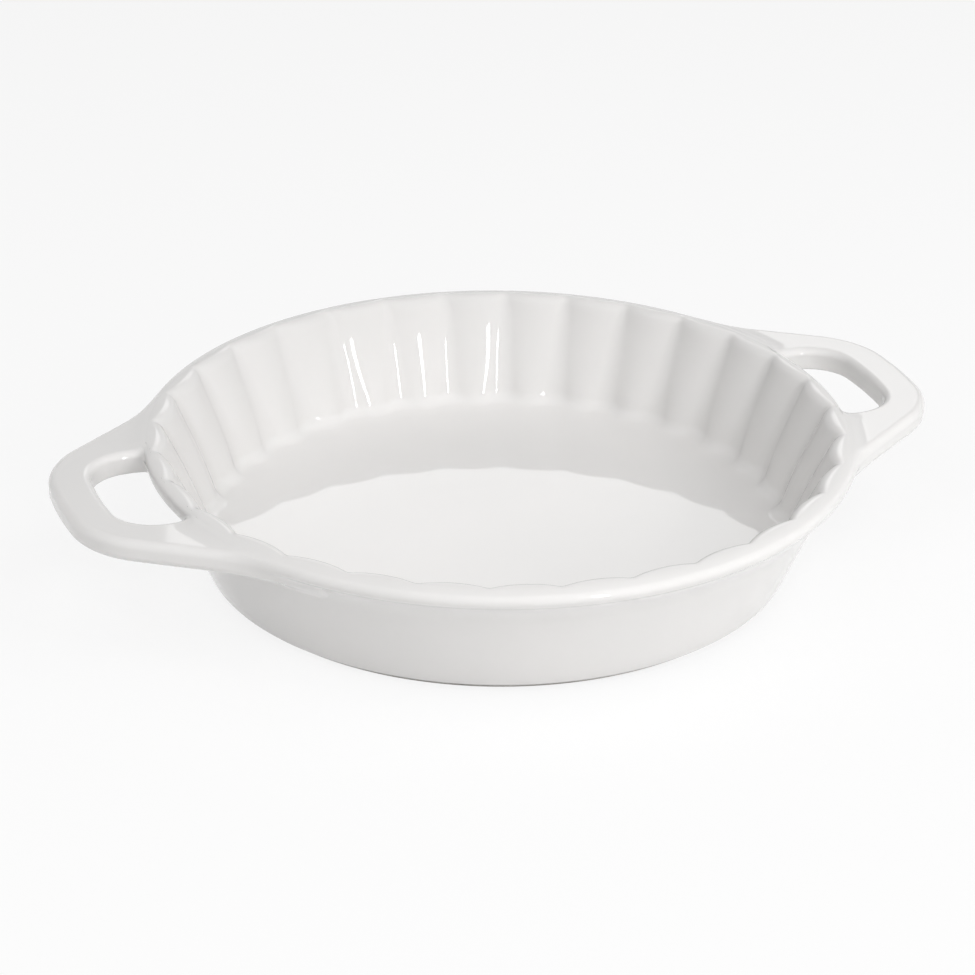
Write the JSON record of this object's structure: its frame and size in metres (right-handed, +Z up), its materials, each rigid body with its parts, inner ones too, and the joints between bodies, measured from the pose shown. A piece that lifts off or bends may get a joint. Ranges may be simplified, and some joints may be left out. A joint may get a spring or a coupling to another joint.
{
  "type": "pie dish",
  "caption": "Round white glazed pie dish with a fluted inner wall, smooth flared outside, rolled rim, low foot ring and a flat loop handle on opposite sides.",
  "frame": {"origin": "centre of the foot ring's lower face, on the axis of the round dish", "axes": "+Z up along the dish's axis, +X towards the right handle and -X towards the left one, so +Y runs across both handles"},
  "size_m": [0.302, 0.24, 0.046],
  "materials": {
    "glaze": "high gloss white glaze",
    "bare_foot": "unglazed, smooth and dull"
  },
  "bodies": {
    "root": {"foot_ring": "bare_foot", "dish_floor": "glaze", "fluted_wall": "glaze", "rim": "glaze", "left_handle": "glaze", "right_handle": "glaze"}
  },
  "joints": []
}
